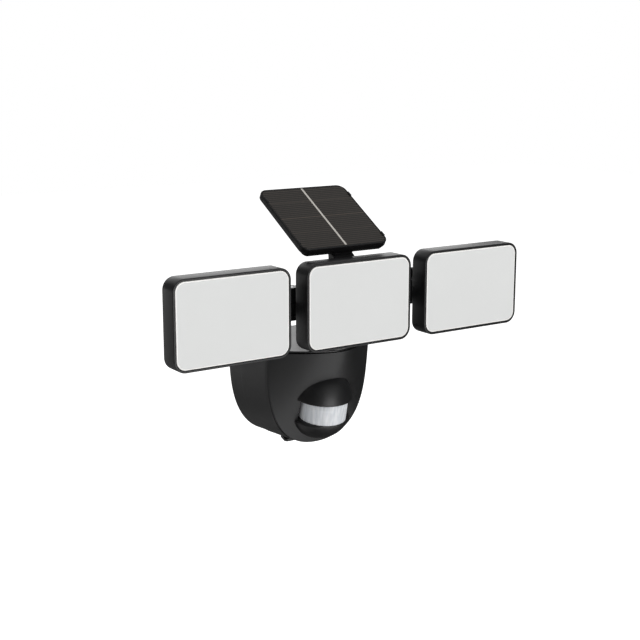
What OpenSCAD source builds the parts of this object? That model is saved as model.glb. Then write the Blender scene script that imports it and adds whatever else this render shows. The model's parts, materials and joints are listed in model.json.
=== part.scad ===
// Solar security light with a motion sensor. A wall housing holds the battery, the board
// and the sensor. A mast on its roof carries three lamp heads and the solar panel.
// +Z is up, -Y looks away from the wall, and the wall is the plane Y = 0.
// The origin is the middle of the wall screws, on the back face of the wall base.

/* [Lamp heads] */
// Width of a lamp head
lamp_w = 111.2; // [108:0.2:113]
// Height of a lamp head
lamp_h = 77.3; // [72:0.1:78]
// Depth of a lamp head
lamp_d = 19.3; // [18:0.1:21]
// Corner radius of a lamp head
lamp_r = 10.8; // [8:0.2:14]
// Width of the black rim round the diffuser
rim_w = 2.35; // [1.6:0.05:2.6]
// Distance between the middles of neighbouring heads
lamp_pitch = 127.2; // [126:0.1:131]
// Height of the heads' middle above the origin
lamp_z = 98; // [98:0.5:100]
// Distance from the wall to the front of the heads
reach = 141; // [140:0.5:143]

/* [Housing] */
// Width of the housing at its front edge
house_w = 110.9; // [108:0.1:112]
// Width of the housing at the wall
back_w = 105.8; // [103:0.2:107]
// Height of the roof above the origin
roof_z = 50; // [49.5:0.1:50.2]
// Height of the housing at its front edge
house_h = 96.3; // [95:0.1:98]
// Height of the housing at the wall
back_h = 102; // [100:0.2:103]
// Distance from the wall to the front edge at the roof
edge_y = 78.1; // [77:0.1:79]
// How far the front bulges at the top, in the middle
bulge = 32.3; // [28:0.1:33]
// Share of the bulge that is gone at the bottom
bulge_fade = 0.86; // [0.8:0.01:0.9]
// How far the front edge leans back from top to bottom
lean = 10.2; // [9:0.1:12]
// Depth of the wall base
base_d = 24.9; // [22:0.1:26]
// Wall thickness of the housing
wall = 2.4; // [2:0.1:2.8]

/* [Motion sensor] */
// Widest radius of the sensor's bulb
bulb_r = 30.3; // [29:0.1:31]
// Height of the bulb's upper half
bulb_up = 30.4; // [29:0.1:32]
// Height of the bulb's lower half
bulb_down = 36.3; // [34:0.1:37]
// Tilt of the sensor towards the ground, in degrees
sensor_tilt = 12; // [10:0.5:14]
// Height of the hood's edge above the sensor's middle
hood_z = 7.4; // [6.8:0.1:8]
// Depth of the lower lid's edge below the sensor's middle
lid_z = 15.3; // [14.8:0.1:16]
// Radius of the window
lens_r = 23; // [22.4:0.1:23.2]

/* [Solar panel] */
// Width of the panel
panel_w = 92.8; // [88:0.2:96]
// Length of the panel along its slope
panel_l = 87.6; // [84:0.2:92]
// Thickness of the panel
panel_t = 9; // [8.6:0.1:9.4]
// Slope of the panel at rest, in degrees
panel_tilt = 30.8; // [28:0.2:33]

/* [Hidden] */

plastic = "#303030";
soft_black = "#1c1c1c";
opal = "#dedede";
steel = "#9a9a9a";

// Clearances
gap = 0.3;
run_gap = 0.05;

// Housing outline: |x / half width| ^ side_pow + |drop| ^ drop_pow = 1
side_pow = 2.18;
drop_pow = 3.18;
bulge_pow = 1.7;
seam_y = edge_y - 3;
seal_t = 0.6;
roof_t = 1.6;
roof_gap = 0.7;
cover_top = roof_z - roof_t - roof_gap;
body_front = seam_y - seal_t / 2;
body_wall_y = base_d + gap + wall;

// Sensor centre. The window's axis lies in front of it, and the ledge under the window slopes up.
sensor_y = -78.9;
sensor_z = -4.5;
lens_y = -4;
lens_t = 1.2;
ledge_h = 1.9;
lid_r = bulb_r * sqrt(1 - pow(lid_z / bulb_down, 2));

// Heads: the back of a case, its parts and the places of its screws
lamp_back = -reach + lamp_d;
case_back = 2.2;
case_bevel = 1.6;
diffuser_t = 2.4;
lamp_screw_x = lamp_w / 2 - 9;
lamp_screw_z = lamp_h / 2 - 9;
chip_step = 12;
chip_w = 2.8;

// Hinges of the heads: the pins' places and radii, measured from the back of the cases
pin_r = 2;
hinge_r = 6.5;
tilt_y = lamp_back + 12.2;
side_tilt_y = tilt_y + 1;
swing_x = 50;
swing_y = tilt_y + 6.5;
arm_front = tilt_y + 2.5;
arm_back = tilt_y + 11;
hub_low = lamp_z - 15.4;
hub_high = lamp_z + 13.8;
knuckle_low = lamp_z - 11.2;
knuckle_high = lamp_z + 1;
barrel_in = 78.6;
barrel_out = 97.4;
lug_w = 5.7;
nut_r = 3.8;
nut_h = 2.2;
head_r = 4;
fork_in = 5.6;
fork_out = 9;

// Mast, and the hinge of the panel at its top
panel_pin_y = -112.5;
panel_pin_z = 130.5;
panel_hinge_r = 5;
mast_w = 22.4;
mast_d = 12;
mast_top_d = 9.4;
foot_y = -81.5;
foot_top = roof_z + 5;
mast_top = panel_pin_z - 5.7;
mast_top_y = panel_pin_y - 0.2;
mast_steps = 24;
mast_screws_x = [-7, 7];
mast_screw_y = -59;
foot_front = -91;
foot_back = -52;
pockets_z = [64, 118];

// Panel: the middle of its upper front edge, its tray, plate and pad
panel_y = -121.2;
panel_z = 145.85;
tray_r = 8.5;
tray_rim = 1.5;
tray_wall = 4.8;
plate_t = 2.6;
pad_l = 46;
pad_t = 2;
bracket_w = 27;
bracket_in = 6.1;
catch_w = 2.2;
catches = [11.7, 72.4];
panel_screws_y = [12, 36];

// Housing: wall screws, groove, screws of the cover, board, cells, hooks, tongue and button
wall_screws_x = [-30, 30];
base_inset = 0.5;
groove_w = 1.3;
groove_d = 1.2;
boss_r = 4.2;
pilot_r = 1.6;
cover_screw_places = [[-42, 26], [42, 26], [-33, -25], [33, -25]];
screw_seat = base_d + gap + 3.4;
board_y = 67;
cell_r = 9.2;
cell_y = -39.5;
cell_places = [19.5, -0.5];
hook_z = 38;
tab_low = roof_z - back_h - 3.6;
tab_t = 4;
tab_screw_y = -31.5;
button_y = -50;
button_r = 4.5;

// Fineness of the lofted and curved surfaces
ring_n = 48;
cover_rows = 16;
cover_cols = 18;

// Width and height of the housing's side wall at a distance from the wall
function half_w(y) = back_w / 2 + (house_w - back_w) / 2 * min(1, y / seam_y);
function tall(y) = back_h + (house_h - back_h) * min(1, y / seam_y);

// One U-shaped ring of the side wall. It leans back by slope, and inset shrinks it.
function ring(y, inset, slope, top) = [
    for (i = [0 : ring_n])
    let (a = 180 * i / ring_n, c = cos(a), s = abs(sin(a)),
        side = pow(abs(c), 2 / side_pow) * sign(c), drop = pow(s, 2 / drop_pow),
        z = top - (tall(y) - (roof_z - top) - inset) * drop)
    [(half_w(y) - inset) * side, -y + slope * (roof_z - z) / house_h, z]
];

// Solid between two rings of ring_n + 1 points. Each end is closed by strips from side to side.
module loft(first, last) {
    n = ring_n + 1;
    half = ring_n / 2;
    sides = [for (i = [0 : n - 1]) let (j = (i + 1) % n) each [[j + n, i + n, i], [j, j + n, i]]];
    near = [for (i = [0 : half - 1])
        let (k = n - 1 - i)
        each i < half - 1 ? [[k - 1, i + 1, i], [k, k - 1, i]] : [[k, i + 1, i]]];
    far = [for (f = near) [f[2] + n, f[1] + n, f[0] + n]];
    polyhedron(points = concat(first, last), faces = concat(near, sides, far), convexity = 4);
}

// Front surface: it bulges at the top, and the bulge fades towards the bottom
function front_y(x, drop) = -edge_y + lean * drop
    - bulge * (1 - pow(min(1, abs(x) / (house_w / 2)), bulge_pow)) * (1 - bulge_fade * drop);
function seam(drop, shift) = -seam_y + lean * drop + shift;

// The front cover's outer or inner form, from its curved front to a flat plane behind it
module cover_form(inset, back, top, plane) {
    high = house_h - inset;
    start = asin(pow((roof_z - top) / high, drop_pow / 2));
    half = house_w / 2 - inset;
    angles = [for (i = [0 : cover_rows - 1]) start + (90 - start) * i / cover_rows];
    n = cover_cols + 1;
    front = [for (a = angles, j = [0 : cover_cols])
        let (drop = pow(sin(a), 2 / drop_pow), side = pow(cos(a), 2 / side_pow),
            x = half * side * (2 * j / cover_cols - 1), z = roof_z - high * drop)
        [x, front_y(x, (roof_z - z) / house_h) + back, z]];
    foot = [0, front_y(0, high / house_h) + back, roof_z - high];
    rim = [for (k = [0, 1], a = angles)
        let (drop = pow(sin(a), 2 / drop_pow), side = pow(cos(a), 2 / side_pow),
            z = roof_z - high * drop)
        [half * side * (2 * k - 1), seam((roof_z - z) / house_h, plane), z]];
    foot_back = [0, seam(high / house_h, plane), roof_z - high];
    points = concat(front, [foot], rim, [foot_back]);
    tip = n * cover_rows;
    left = tip + 1;
    right = left + cover_rows;
    tail = right + cover_rows;
    skin = [for (i = [0 : cover_rows - 2], j = [0 : cover_cols - 1])
        let (p = i * n + j)
        each [[p, p + 1, p + n + 1], [p, p + n + 1, p + n]]];
    chin = [for (j = [0 : cover_cols - 1])
        [(cover_rows - 1) * n + j, (cover_rows - 1) * n + j + 1, tip]];
    left_side = [for (i = [0 : cover_rows - 2])
        let (p = i * n, q = left + i)
        each [[p, p + n, q + 1], [p, q + 1, q]]];
    right_side = [for (i = [0 : cover_rows - 2])
        let (p = i * n + cover_cols, q = right + i)
        each [[p, q + 1, p + n], [p, q, q + 1]]];
    ends = [[(cover_rows - 1) * n, tip, tail], [(cover_rows - 1) * n, tail, left + cover_rows - 1],
        [cover_rows * n - 1, tail, tip], [cover_rows * n - 1, right + cover_rows - 1, tail]];
    lid = concat([left], [right], [for (j = [cover_cols : -1 : 0]) j]);
    behind = concat([for (i = [0 : cover_rows - 1]) left + i], [tail],
        [for (i = [cover_rows - 1 : -1 : 0]) right + i]);
    polyhedron(points = points, convexity = 6,
        faces = concat(skin, chin, left_side, right_side, ends, [lid], [behind]));
}

// Place in the sensor's own frame: Z is its axis, and -Y is the way that it looks
module at_sensor() {
    translate([0, sensor_y, sensor_z]) rotate([sensor_tilt, 0, 0]) children();
}

// Egg-shaped bulb round the sensor's axis
module bulb(shrink) {
    r = bulb_r - shrink;
    steps = 26;
    rotate_extrude($fn = 96)
    polygon([for (i = [0 : steps]) let (a = 180 * i / steps, h = (a < 90 ? bulb_up : bulb_down) - shrink)
        [r * sin(a), h * cos(a)]]);
}

// Thick slice of space above or below a height in the sensor's frame
module slice(low, high) {
    translate([-60, -60, low]) cube([120, 120, high - low]);
}

// Rounded rectangle in the X-Z plane, from y_front back by depth
module plate(w, h, r, y_front, depth) {
    translate([0, y_front + depth, 0]) rotate([90, 0, 0]) linear_extrude(depth) rounded(w, h, r);
}

module rounded(w, h, r) {
    square([w - 2 * r, h], center = true);
    square([w, h - 2 * r], center = true);
    for (x = [-1, 1], y = [-1, 1]) translate([x * (w / 2 - r), y * (h / 2 - r)]) circle(r, $fn = 64);
}

// Round bar along X between two places
module bar_x(x0, x1, r, y, z) {
    translate([min(x0, x1), y, z]) rotate([0, 90, 0]) cylinder(h = abs(x1 - x0), r = r, $fn = 64);
}

// Profile in the Y-Z plane carried along X
module along_x(x0, x1) {
    translate([min(x0, x1), 0, 0]) rotate([90, 0, 90]) linear_extrude(abs(x1 - x0)) children();
}

// Screw along -Z: head at the origin, below it the shank
module screw(head_r, head_h, shank_r, length) {
    difference() {
        union() {
            translate([0, 0, -length]) cylinder(h = length, r = shank_r, $fn = 32);
            cylinder(h = head_h, r = head_r, $fn = 48);
        }
        for (a = [0, 90]) rotate(a)
            translate([-head_r * 0.6, -0.35, head_h - 0.7]) cube([head_r * 1.2, 0.7, 2]);
    }
}

// Hinge screw along +X from x0 to x1, with its head at x0 and a nut at x1
module hinge_screw(x0, x1, y, z, head_r, head_h) {
    bar_x(x0, x1 + 2.4, pin_r, y, z);
    bar_x(x0 - head_h, x0, head_r, y, z);
    difference() {
        translate([x1, y, z]) rotate([0, 90, 0]) cylinder(h = nut_h, r = nut_r, $fn = 6);
        bar_x(x1 - 1, x1 + 4, pin_r - 0.2, y, z);
    }
}

module wall_base() {
    base_top = roof_z - roof_t - gap;
    color(plastic)
    difference() {
        union() {
            difference() {
                union() {
                    loft(ring(0, base_inset, 0, base_top), ring(base_d - groove_w, base_inset, 0, base_top));
                    loft(ring(base_d - groove_w - 0.5, groove_d, 0, base_top),
                        ring(base_d, groove_d, 0, base_top));
                }
                loft(ring(3, wall + base_inset, 0, base_top - wall),
                    ring(base_d + 1, wall + base_inset, 0, base_top - wall));
            }
            for (x = wall_screws_x) translate([x, 0, 0]) rotate([90, 0, 0]) cylinder(h = 7, r = 8, $fn = 48);
            for (x = [-18, 18]) translate([x - 1.2, -20, -38]) cube([2.4, 18, 76]);
            for (z = [-24, 24]) translate([-40, -14, z - 1.2]) cube([80, 12, 2.4]);
            locking_tab();
            for (x = wall_screws_x) hook(x);
        }
        for (x = wall_screws_x) translate([x, 1, 0]) rotate([90, 0, 0]) cylinder(h = 12, r = 2.6, $fn = 48);
        translate([0, tab_screw_y, tab_low - 1]) cylinder(h = tab_t + 2, r = 2.05, $fn = 48);
    }
}

// Hook that the housing hangs on: it goes through a slot in the housing's back wall
module hook(x) {
    along_x(x - 4, x + 4) translate([0, hook_z])
    polygon([[-2, -4], [-30.4, -4], [-30.4, 1], [-28.2, 1], [-28.2, -1], [-2, 4]]);
}

// Tongue under the housing, held to it by the locking screw
module locking_tab() {
    translate([0, 0, tab_low])
    linear_extrude(tab_t)
    hull() {
        translate([-8, -24]) square([16, 3]);
        for (x = [-9, 9]) translate([x, -34.5]) circle(3, $fn = 32);
    }
    translate([-8, -base_d, tab_low + 1]) cube([16, 3, 7]);
}

// Front edge of the roof, seen from above
function roof_front() = [for (i = [0 : 36])
    let (x = house_w / 2 * (1 - i / 18)) [x, front_y(x, 0)]];

// A cover screw ends this far behind the front surface
function screw_tip(p) = front_y(p[0], (roof_z - p[1]) / house_h) + 4;
module at_cover_screws() {
    for (p = cover_screw_places) translate([p[0], 0, p[1]]) children();
}

// Cylinder along Y from y0 to y1
module bar_y(y0, y1, r) {
    translate([0, max(y0, y1), 0]) rotate([90, 0, 0]) cylinder(h = abs(y1 - y0), r = r, $fn = 48);
}

module body_shell() {
    ceiling = roof_z - roof_t - 1.2;
    color(plastic)
    difference() {
        union() {
            loft(ring(base_d + gap, 0, 0, roof_z), ring(body_front, 0, lean, roof_z));
            translate([0, 0, roof_z - roof_t]) linear_extrude(roof_t)
            polygon(concat([[-half_w(0), -0.6], [half_w(0), -0.6]], roof_front()));
        }
        difference() {
            loft(ring(body_wall_y, wall, 0, ceiling), ring(body_front + 6, wall, lean, ceiling));
            at_cover_screws() bar_y(-20, -90, boss_r);
            translate([0, tab_screw_y, tab_low]) cylinder(h = 20, r = boss_r, $fn = 48);
            for (x = mast_screws_x) translate([x, mast_screw_y, ceiling - 3])
                cylinder(h = 6, r = boss_r, $fn = 48);
        }
        at_cover_screws() bar_y(-20, -90, 1.7);
        at_cover_screws() bar_y(-20, -screw_seat, 3.4);
        for (x = wall_screws_x) translate([x - 4.5, -30, hook_z - 4.4]) cube([9, 8, 8]);
        translate([0, tab_screw_y, tab_low]) cylinder(h = 17, r = pilot_r, $fn = 48);
        for (x = mast_screws_x) translate([x, mast_screw_y, ceiling - 4])
            cylinder(h = 12, r = pilot_r, $fn = 48);
        translate([0, button_y, roof_z - back_h - 8]) cylinder(h = 20, r = button_r + 0.15, $fn = 48);
    }
}

module front_cover() {
    color(plastic)
    difference() {
        union() {
            difference() {
                union() {
                    cover_form(0, 0, cover_top, -seal_t / 2);
                    at_sensor() intersection() {
                        bulb(0);
                        union() {
                            slice(hood_z, 40);
                            slice(-40, -lid_z);
                        }
                    }
                    // Ledge from the lower lid up to the window
                    at_sensor() hull() {
                        translate([0, 0, -lid_z]) cylinder(h = 0.01, r = lid_r, $fn = 64);
                        translate([0, lens_y, -lid_z + ledge_h - 0.01])
                            cylinder(h = 0.01, r = lens_r + 0.4, $fn = 64);
                    }
                }
                cover_form(wall, wall, cover_top - wall, 40);
                at_sensor() intersection() {
                    bulb(2);
                    union() {
                        slice(hood_z + 2, 40);
                        slice(-40, -lid_z - 2.2);
                    }
                }
                at_sensor() translate([0, lens_y, -lid_z + 0.6])
                    cylinder(h = lid_z + hood_z + 2.7, r = lens_r + 0.3, $fn = 96);
            }
            intersection() {
                cover_form(0.6, 0.6, cover_top - 0.6, -seal_t / 2);
                at_cover_screws() bar_y(-60, -100, 3.6);
            }
        }
        for (p = cover_screw_places) translate([p[0], 0, p[1]]) bar_y(-60, screw_tip(p) - 0.5, 1.55);
    }
}

// Leaning ring of the seal, from one distance behind its back face to another in front of it
module seal_ring(y0, y1, inset, top) {
    loft(ring(body_front + y0, inset, lean, top), ring(body_front + y1, inset, lean, top));
}

module cover_seal() {
    color("#151515")
    difference() {
        seal_ring(0, seal_t, 0.7, roof_z - roof_t);
        seal_ring(-1, 2, wall, roof_z - roof_t - 2);
        at_cover_screws() bar_y(-60, -84, 1.7);
    }
}

module sensor_lens() {
    color("#d6d8da")
    at_sensor() translate([0, lens_y, 0])
    difference() {
        translate([0, 0, -lid_z + 0.7]) cylinder(h = lid_z + hood_z + 2.4, r = lens_r, $fn = 96);
        translate([0, 0, -lid_z - 1]) cylinder(h = lid_z + hood_z + 6, r = lens_r - lens_t, $fn = 96);
        translate([-40, 1.5, -40]) cube([80, 60, 80]);
    }
}

module pir_sensor() {
    color(steel)
    translate([0, 0, sensor_z - 1]) {
        bar_y(-board_y - 1.6, -board_y - 6, 6.5);
        bar_y(-board_y - 6, -board_y - 11, 4.6);
        bar_y(-board_y - 6, -board_y - 6.6, 5);
    }
}

module control_board() {
    color("#1f5a34")
    difference() {
        union() {
            translate([-28, -board_y - 1.6, -30]) cube([56, 1.6, 62]);
            translate([-22, -board_y, 18]) cube([10, 6, 8]);
            translate([4, -board_y, 16]) cube([12, 3, 12]);
            for (x = [-18, -4, 10]) translate([x, -board_y, -12]) cube([7, 1.4, 7]);
        }
        for (x = [-24, 24], z = [-26, 28]) translate([x, 0, z]) bar_y(-60, -75, 1.5);
    }
}

module battery_cells() {
    color("#3a6ea5")
    for (z = cell_places) {
        bar_x(-32.5, 32.5, cell_r, cell_y, z);
        bar_x(32.5, 33.7, 2.8, cell_y, z);
    }
}

module battery_holder() {
    color(soft_black)
    difference() {
        translate([-37, -body_wall_y - 11.7, -12]) cube([74, 11.2, 42.5]);
        for (z = cell_places) bar_x(-34, 34, cell_r + 0.3, cell_y, z);
    }
}

module cover_screws() {
    color(steel)
    for (p = cover_screw_places) translate([p[0], -screw_seat, p[1]])
    rotate([-90, 0, 0]) screw(3, 2.2, 1.5, -screw_seat - screw_tip(p));
}

module locking_screw() {
    color(steel)
    translate([0, tab_screw_y, tab_low]) rotate([180, 0, 0]) screw(3.6, 2.2, 1.5, 11);
}

// Button in the floor of the housing: the flange inside keeps it in
module mode_button() {
    floor_z = roof_z - tall(-button_y);
    color("#2a2a2a")
    translate([0, button_y, floor_z]) {
        translate([0, 0, -2.2]) cylinder(h = 8, r = button_r, $fn = 64);
        translate([0, 0, wall + 0.9]) cylinder(h = 1.4, r = button_r + 1.6, $fn = 64);
    }
}

// Middle line of the mast: it rises from the foot and bends smoothly forward
function mast_y(z) = let (t = min(1, max(0, (z - foot_top) / (mast_top - foot_top))))
    foot_y + (mast_top_y - foot_y) * t * t * (3 - 2 * t);
function mast_side(side) = [for (i = [0 : mast_steps])
    let (z = foot_top - 1 + (mast_top - foot_top + 1) * i / mast_steps,
        depth = mast_d + (mast_top_d - mast_d) * i / mast_steps)
    [mast_y(z) + side * depth / 2, z]];
function backwards(list) = [for (i = [len(list) - 1 : -1 : 0]) list[i]];

// Rounded slab whose corners lie in the X-Y plane
module pad(w, y0, y1, r, z, h) {
    translate([0, (y0 + y1) / 2, z]) linear_extrude(h) rounded(w, y1 - y0, r);
}

module mast() {
    color(plastic)
    difference() {
        union() {
            pad(mast_w, foot_front, foot_back, 5, roof_z + 0.8, 3.4);
            along_x(-mast_w / 2, mast_w / 2) polygon(concat(mast_side(-1), backwards(mast_side(1))));
            // Rib behind the foot, between the two screws
            along_x(-1.5, 1.5) polygon([[foot_y, foot_top - 2], [foot_back - 2, foot_top - 2],
                [foot_y + 5.5, foot_top + 20], [foot_y - 2.5, foot_top + 20]]);
            // Fork for the middle head
            for (s = [-1, 1]) {
                bar_x(s * fork_in, s * mast_w / 2, hinge_r + 0.5, tilt_y, lamp_z);
                along_x(s * fork_in, s * mast_w / 2) translate([0, lamp_z])
                    polygon([[tilt_y, -7], [arm_back - 1, -9], [arm_back - 1, 9], [tilt_y, 7]]);
            }
            // Tongue for the panel
            bar_x(-fork_in, fork_in, panel_hinge_r, panel_pin_y, panel_pin_z);
            along_x(-fork_in, fork_in) translate([panel_pin_y - panel_hinge_r, mast_top - 1])
            square([2 * panel_hinge_r, panel_pin_z - mast_top + 1]);
            for (s = [-1, 1]) arm(s);
        }
        // Room for the middle head's tongue, and for the head and nut of its hinge screw
        bar_x(-fork_in, fork_in, hinge_r + 0.9, tilt_y, lamp_z);
        for (s = [-1, 1]) bar_x(s * mast_w / 2, s * (mast_w / 2 + 5), 4.6, tilt_y, lamp_z);
        bar_x(-40, 40, pin_r + run_gap, tilt_y, lamp_z);
        bar_x(-40, 40, pin_r + run_gap, panel_pin_y, panel_pin_z);
        at_mast_screws() cylinder(h = 12, r = 1.7, $fn = 48);
        for (s = [-1, 1]) translate([s * swing_x, swing_y, hub_low - 1]) {
            cylinder(h = hub_high - hub_low + 2, r = pin_r + run_gap, $fn = 64);
            cylinder(h = 1 + nut_h, r = nut_r + 0.3, $fn = 64);
            translate([0, 0, hub_high - hub_low + 1 - nut_h]) cylinder(h = 4, r = head_r + 0.3, $fn = 64);
        }
        // Pockets in the back of the column
        for (z = pockets_z) along_x(-mast_w / 2 + 3, mast_w / 2 - 3)
            polygon([for (p = [[1, -6], [30, -6], [30, 6], [1, 6]]) [mast_y(z + p[1]) + p[0], z + p[1]]]);
    }
}

// Fixed arm with a fork at its end, to the left where side is -1
module arm(side) {
    x_end = swing_x - hinge_r - 1.2;
    difference() {
        union() {
            along_x(side * fork_out, side * x_end)
                polygon([[arm_front, hub_low + 2], [arm_front + 2, hub_low],
                    [arm_back - 2, hub_low], [arm_back, hub_low + 2], [arm_back, hub_high - 2],
                    [arm_back - 2, hub_high], [arm_front + 2, hub_high], [arm_front, hub_high - 2]]);
            for (z = [[hub_low, knuckle_low - gap], [knuckle_high + gap, hub_high]]) {
                translate([side * swing_x, swing_y, z[0]]) cylinder(h = z[1] - z[0], r = 7.5, $fn = 64);
                translate([side * (x_end + swing_x) / 2, swing_y + 0.25, (z[0] + z[1]) / 2])
                cube([swing_x - x_end + 0.4, 8.5, z[1] - z[0]], center = true);
            }
        }
        // Long pockets behind and in front leave a web between two flanges
        for (y = [arm_front - 2.5, arm_back - 2]) translate([side > 0 ? 16 : -x_end + 4, y, hub_low + 5])
            cube([x_end - 20, 5, 20]);
    }
}

module mast_seal() {
    color("#151515")
    difference() {
        pad(mast_w, foot_front, foot_back, 5, roof_z, 0.8);
        at_mast_screws() cylinder(h = 12, r = 1.7, $fn = 48);
    }
}

// Places of the screws that hold the mast, below the roof
module at_mast_screws() {
    for (x = mast_screws_x) translate([x, mast_screw_y, roof_z - 5]) children();
}

module mast_screws() {
    color(steel)
    at_mast_screws() translate([0, 0, 9.2]) screw(3, 1.8, 1.5, 8.5);
}

module centre_tilt_pin() {
    color(steel)
    hinge_screw(-mast_w / 2, mast_w / 2, tilt_y, lamp_z, head_r, nut_h);
}

module swing_pin(side) {
    color(steel)
    translate([side * swing_x, swing_y, 0]) {
        translate([0, 0, hub_low]) cylinder(h = hub_high - hub_low - nut_h, r = pin_r, $fn = 64);
        translate([0, 0, hub_high - nut_h]) cylinder(h = 2, r = head_r, $fn = 48);
        translate([0, 0, hub_low + 0.2]) cylinder(h = nut_h - 0.2, r = nut_r, $fn = 6);
    }
}
module left_swing_pin() { swing_pin(-1); }
module right_swing_pin() { swing_pin(1); }

module panel_pin() {
    color(steel)
    hinge_screw(-bracket_w / 2 + 2.6, bracket_w / 2 - 2.6, panel_pin_y, panel_pin_z, 3.6, 2);
}

// Knuckle between the arm's fork and a side head, to the left where side is -1
module knuckle(side) {
    color(plastic)
    difference() {
        union() {
            translate([side * swing_x, swing_y, knuckle_low])
                cylinder(h = knuckle_high - knuckle_low, r = 7, $fn = 64);
            along_x(side * swing_x, side * 74) translate([arm_front + 0.5, knuckle_low + 0.3])
                square([arm_back - arm_front - 0.5, knuckle_high - knuckle_low - 0.6]);
            translate([side * 88, 0, lamp_z]) plate(34, 34, 5, arm_back - 2.9, 4.6);
            along_x(side * barrel_in, side * barrel_out) polygon([[side_tilt_y, lamp_z - 6.2],
                [arm_back - 1, lamp_z - 9], [arm_back - 1, lamp_z + 9], [side_tilt_y, lamp_z + 6.2]]);
            bar_x(side * barrel_in, side * barrel_out, hinge_r, side_tilt_y, lamp_z);
            for (z = [-11, 11]) along_x(side * 74, side * 102) translate([arm_back + 0.5, lamp_z + z - 1.2])
                square([3.5, 2.4]);
        }
        translate([side * swing_x, swing_y, knuckle_low - 1])
            cylinder(h = 20, r = pin_r + run_gap, $fn = 64);
        bar_x(side * 70, side * 106, pin_r + run_gap, side_tilt_y, lamp_z);
        along_x(side * 69.8, side * 74.2) translate([arm_front - 3.5, lamp_z - 14]) square([9, 28]);
    }
}
module left_knuckle() { knuckle(-1); }
module right_knuckle() { knuckle(1); }

module side_tilt_pin(side) {
    color(steel)
    mirror([side > 0 ? 0 : 1, 0, 0])
    hinge_screw(barrel_in - 0.4 - lug_w, barrel_out + 0.4 + lug_w, side_tilt_y, lamp_z, head_r, nut_h);
}
module left_tilt_pin() { side_tilt_pin(-1); }
module right_tilt_pin() { side_tilt_pin(1); }

module at_lamp_screws() {
    for (x = [-1, 1], z = [-1, 1]) translate([x * lamp_screw_x, 0, z * lamp_screw_z]) children();
}

// Black case of a head, open in front. Its back edge is bevelled.
module lamp_case(cx) {
    inner_w = lamp_w - 2 * rim_w;
    inner_h = lamp_h - 2 * rim_w;
    translate([cx, 0, lamp_z])
    difference() {
        hull() {
            plate(lamp_w, lamp_h, lamp_r, -reach, lamp_d - case_bevel);
            plate(lamp_w - 2 * case_bevel, lamp_h - 2 * case_bevel, lamp_r - case_bevel, -reach, lamp_d);
        }
        plate(inner_w, inner_h, lamp_r - rim_w, -reach - 1, diffuser_t + 1.2);
        difference() {
            plate(inner_w - 3, inner_h - 3, lamp_r - rim_w - 1.5, -reach - 1, lamp_d - case_back + 1);
            at_lamp_screws() bar_y(-reach + diffuser_t + 0.2, lamp_back, 4);
        }
        at_lamp_screws() bar_y(-reach - 1, lamp_back + 1, 1.5);
        at_lamp_screws() bar_y(lamp_back - 1.4, lamp_back + 1, 2.9);
    }
}

module lug(x0, x1, y) {
    bar_x(x0, x1, hinge_r, y, lamp_z);
    along_x(x0, x1) polygon([[lamp_back - 0.8, lamp_z - 11], [y - 2, lamp_z - hinge_r + 0.3],
        [y - 2, lamp_z + hinge_r - 0.3], [lamp_back - 0.8, lamp_z + 11]]);
}

// Raised pad and ribs on the back of a head, round its hinge lugs
module back_ribs(cx, w) {
    translate([cx, 0, lamp_z]) plate(w, 30, 4, lamp_back - 0.5, 1.7);
    for (z = [-24, 24]) translate([cx - w / 2, lamp_back - 0.5, lamp_z + z - 1]) cube([w, 1.7, 2]);
}

module side_case(side) {
    cx = side * lamp_pitch;
    color(plastic)
    difference() {
        union() {
            lamp_case(cx);
            back_ribs(side * 88, 30);
            lug(side * (barrel_in - 0.4 - lug_w), side * (barrel_in - 0.4), side_tilt_y);
            lug(side * (barrel_out + 0.4), side * (barrel_out + 0.4 + lug_w), side_tilt_y);
        }
        bar_x(side * 68, side * 110, pin_r + run_gap, side_tilt_y, lamp_z);
    }
}
module left_case() { side_case(-1); }
module right_case() { side_case(1); }
module centre_case() {
    color(plastic)
    difference() {
        union() {
            lamp_case(0);
            back_ribs(0, 30);
            lug(-fork_in + 0.4, fork_in - 0.4, tilt_y);
        }
        bar_x(-20, 20, pin_r + run_gap, tilt_y, lamp_z);
    }
}

// Board with rows of light-emitting chips
module led_board(cx) {
    board_front = -reach + lamp_d - case_back - 1.8;
    color("#e8e8e2")
    translate([cx, 0, lamp_z]) difference() {
        union() {
            plate(lamp_w - 10, lamp_h - 10, 6, board_front, 1.6);
            for (i = [-3.5 : 3.5], j = [-2 : 2])
                translate([chip_step * i, board_front - 0.3, chip_step * j])
                    cube([chip_w, 0.8, chip_w], center = true);
        }
        at_lamp_screws() bar_y(-reach, lamp_back, 4.4);
    }
}
module left_leds() { led_board(-lamp_pitch); }
module centre_leds() { led_board(0); }
module right_leds() { led_board(lamp_pitch); }

module diffuser(cx) {
    edge = rim_w + 0.06;
    color(opal)
    translate([cx, 0, lamp_z]) difference() {
        union() {
            plate(lamp_w - 2 * edge, lamp_h - 2 * edge, lamp_r - edge, -reach, diffuser_t);
            at_lamp_screws() bar_y(-reach + 1, -reach + diffuser_t + 0.1, 3.6);
        }
        at_lamp_screws() bar_y(-reach + 1.2, lamp_back, 1.25);
    }
}
module left_diffuser() { diffuser(-lamp_pitch); }
module centre_diffuser() { diffuser(0); }
module right_diffuser() { diffuser(lamp_pitch); }

module lamp_screws(cx) {
    color(steel)
    translate([cx, 0, lamp_z]) at_lamp_screws()
    translate([0, lamp_back - 1.3, 0]) rotate([-90, 0, 0]) screw(2.6, 1.2, 1.2, lamp_d - 2.9);
}
module left_screws() { lamp_screws(-lamp_pitch); }
module centre_screws() { lamp_screws(0); }
module right_screws() { lamp_screws(lamp_pitch); }

// Place in the panel's own frame: Y runs up its slope, Z is square to it
module at_panel() {
    translate([0, panel_y, panel_z]) rotate([panel_tilt, 0, 0]) children();
}

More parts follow.
